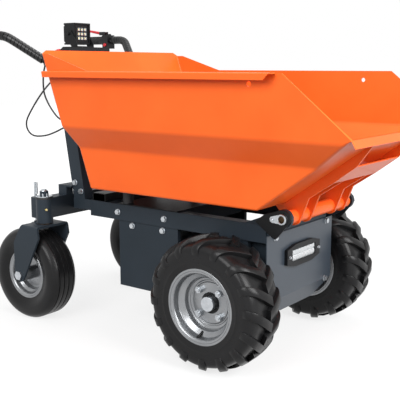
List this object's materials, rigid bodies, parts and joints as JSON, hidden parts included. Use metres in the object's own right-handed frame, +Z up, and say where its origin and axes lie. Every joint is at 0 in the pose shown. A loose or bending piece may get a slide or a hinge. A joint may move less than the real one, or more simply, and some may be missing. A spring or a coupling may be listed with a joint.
{
  "type": "concrete buggy",
  "caption": "Battery driven walk-behind concrete buggy: a steel tub that tips forward, lugged drive wheels in front, swivel casters behind and a handlebar mast with lights.",
  "frame": {"origin": "on the ground, at the middle of the overall box", "axes": "+X forward to the tipping end, +Y to the driver's left, +Z up"},
  "size_m": [1.594, 0.777, 1.044],
  "materials": {
    "tub_paint": "gloss powder coat",
    "frame_paint": "satin powder coat",
    "black_paint": "satin powder coat",
    "rim_paint": "silver paint",
    "zinc_steel": "zinc plated",
    "bush_bronze": "turned",
    "gear_case": "cast",
    "controller_case": "extruded",
    "motor_paint": "painted steel",
    "tyre_rubber": "moulded",
    "buffer_rubber": "moulded",
    "grip_rubber": "moulded",
    "cable_sheath": "smooth",
    "wrap_plastic": "satin",
    "black_plastic": "moulded",
    "red_plastic": "gloss",
    "battery_case": "moulded",
    "light_casting": "black coat",
    "light_lens": "clear"
  },
  "bodies": {
    "chassis": {"main_frame": "frame_paint", "rear_beam": "frame_paint", "swivel_bushes": "bush_bronze", "grease_nipples": "bush_bronze", "mast": "frame_paint", "front_plate": "frame_paint", "front_light_frame": "light_casting", "front_light_lens": "light_lens", "frame_bolts": "zinc_steel", "battery_box": "frame_paint", "batteries": "battery_case", "battery_lid": "black_paint", "rest_beam": "black_paint", "rest_buffers": "buffer_rubber", "tub_catch": "zinc_steel", "transaxle": "gear_case", "drive_motor": "motor_paint", "motor_controller": "controller_case", "charge_socket": "black_plastic", "pivot_pin": "zinc_steel", "console": "black_plastic", "battery_gauge": "black_plastic", "handlebars": "black_paint", "spiral_wraps": "wrap_plastic", "left_grip": "grip_rubber", "throttle_housing": "black_plastic", "switch_pod": "black_plastic", "light_bracket": "black_paint", "cable_upper": "cable_sheath", "cable_lower": "cable_sheath"},
    "tipping_tub": {"tub": "tub_paint", "chute_ribs": "tub_paint", "pivot_tube": "tub_paint", "pivot_bushes": "bush_bronze"},
    "right_drive_wheel": {"right_drive_axle": "zinc_steel", "right_drive_rim": "rim_paint", "right_drive_tyre": "tyre_rubber", "right_lug_nuts": "zinc_steel"},
    "right_caster_fork": {"right_fork": "frame_paint", "right_caster_fasteners": "zinc_steel"},
    "right_caster_wheel": {"right_caster_rim": "rim_paint", "right_caster_tyre": "tyre_rubber"},
    "right_swivel_lock": {"right_lock_pin": "zinc_steel"},
    "left_drive_wheel": {"left_drive_axle": "zinc_steel", "left_drive_rim": "rim_paint", "left_drive_tyre": "tyre_rubber", "left_lug_nuts": "zinc_steel"},
    "left_caster_fork": {"left_fork": "frame_paint", "left_caster_fasteners": "zinc_steel"},
    "left_caster_wheel": {"left_caster_rim": "rim_paint", "left_caster_tyre": "tyre_rubber"},
    "left_swivel_lock": {"left_lock_pin": "zinc_steel"},
    "throttle": {"throttle_grip": "grip_rubber"},
    "brake": {"brake_lever": "red_plastic"},
    "horn": {"horn_button": "red_plastic"},
    "direction": {"direction_switch": "black_plastic"},
    "key_switch": {"key": "zinc_steel"},
    "stop_switch": {"stop_button": "red_plastic"},
    "light_head": {"work_light": "light_casting", "work_light_lens": "light_lens"}
  },
  "joints": [
    {"name": "tub_tip", "type": "hinge", "parent": "chassis", "child": "tipping_tub", "pos_m": [0.51, 0, 0.455], "axis": [0, 1, 0], "range_deg": [0, 75]},
    {"name": "right_drive_spin", "type": "hinge", "parent": "chassis", "child": "right_drive_wheel", "pos_m": [0.34, -0.306, 0.203], "axis": [0, 1, 0], "continuous": true},
    {"name": "right_caster_swivel", "type": "hinge", "parent": "chassis", "child": "right_caster_fork", "pos_m": [-0.4, -0.297, 0.345], "axis": [0, 0, 1], "continuous": true},
    {"name": "right_caster_spin", "type": "hinge", "parent": "right_caster_fork", "child": "right_caster_wheel", "pos_m": [-0.46, -0.297, 0.162], "axis": [0, 1, 0], "continuous": true},
    {"name": "right_lock_drop", "type": "slide", "parent": "chassis", "child": "right_swivel_lock", "axis": [0, 0, -1], "range_m": [0, 0.006]},
    {"name": "left_drive_spin", "type": "hinge", "parent": "chassis", "child": "left_drive_wheel", "pos_m": [0.34, 0.306, 0.203], "axis": [0, 1, 0], "continuous": true},
    {"name": "left_caster_swivel", "type": "hinge", "parent": "chassis", "child": "left_caster_fork", "pos_m": [-0.4, 0.297, 0.345], "axis": [0, 0, 1], "continuous": true},
    {"name": "left_caster_spin", "type": "hinge", "parent": "left_caster_fork", "child": "left_caster_wheel", "pos_m": [-0.46, 0.297, 0.162], "axis": [0, 1, 0], "continuous": true},
    {"name": "left_lock_drop", "type": "slide", "parent": "chassis", "child": "left_swivel_lock", "axis": [0, 0, -1], "range_m": [0, 0.006]},
    {"name": "throttle_twist", "type": "hinge", "parent": "chassis", "child": "throttle", "pos_m": [-0.74, -0.305, 0.993], "axis": [1, 0, 0], "range_deg": [0, 60], "stiffness_Nm_per_rad": 0.4},
    {"name": "brake_squeeze", "type": "hinge", "parent": "chassis", "child": "brake", "pos_m": [-0.68603, 0.305, 1.021], "axis": [0, -1, 0], "range_deg": [0, 12], "stiffness_Nm_per_rad": 4, "springref_deg": -2.86},
    {"name": "horn_press", "type": "slide", "parent": "chassis", "child": "horn", "axis": [0, 1, 0], "range_m": [0, 0.003], "stiffness_N_per_m": 400},
    {"name": "direction_rock", "type": "hinge", "parent": "chassis", "child": "direction", "pos_m": [-0.65303, 0.305, 1.011], "axis": [0, 1, 0], "range_deg": [-10, 10]},
    {"name": "key_turn", "type": "hinge", "parent": "chassis", "child": "key_switch", "pos_m": [-0.53233, 0.072, 0.9268], "axis": [-0.5807, 0, 0.8141], "range_deg": [0, 90]},
    {"name": "stop_press", "type": "slide", "parent": "chassis", "child": "stop_switch", "axis": [0.5807, 0, -0.8141], "range_m": [0, 0.004], "stiffness_N_per_m": 800},
    {"name": "light_tilt", "type": "hinge", "parent": "chassis", "child": "light_head", "pos_m": [-0.501, -0.02, 1.005], "axis": [0, 1, 0], "range_deg": [-12, 12]}
  ]
}
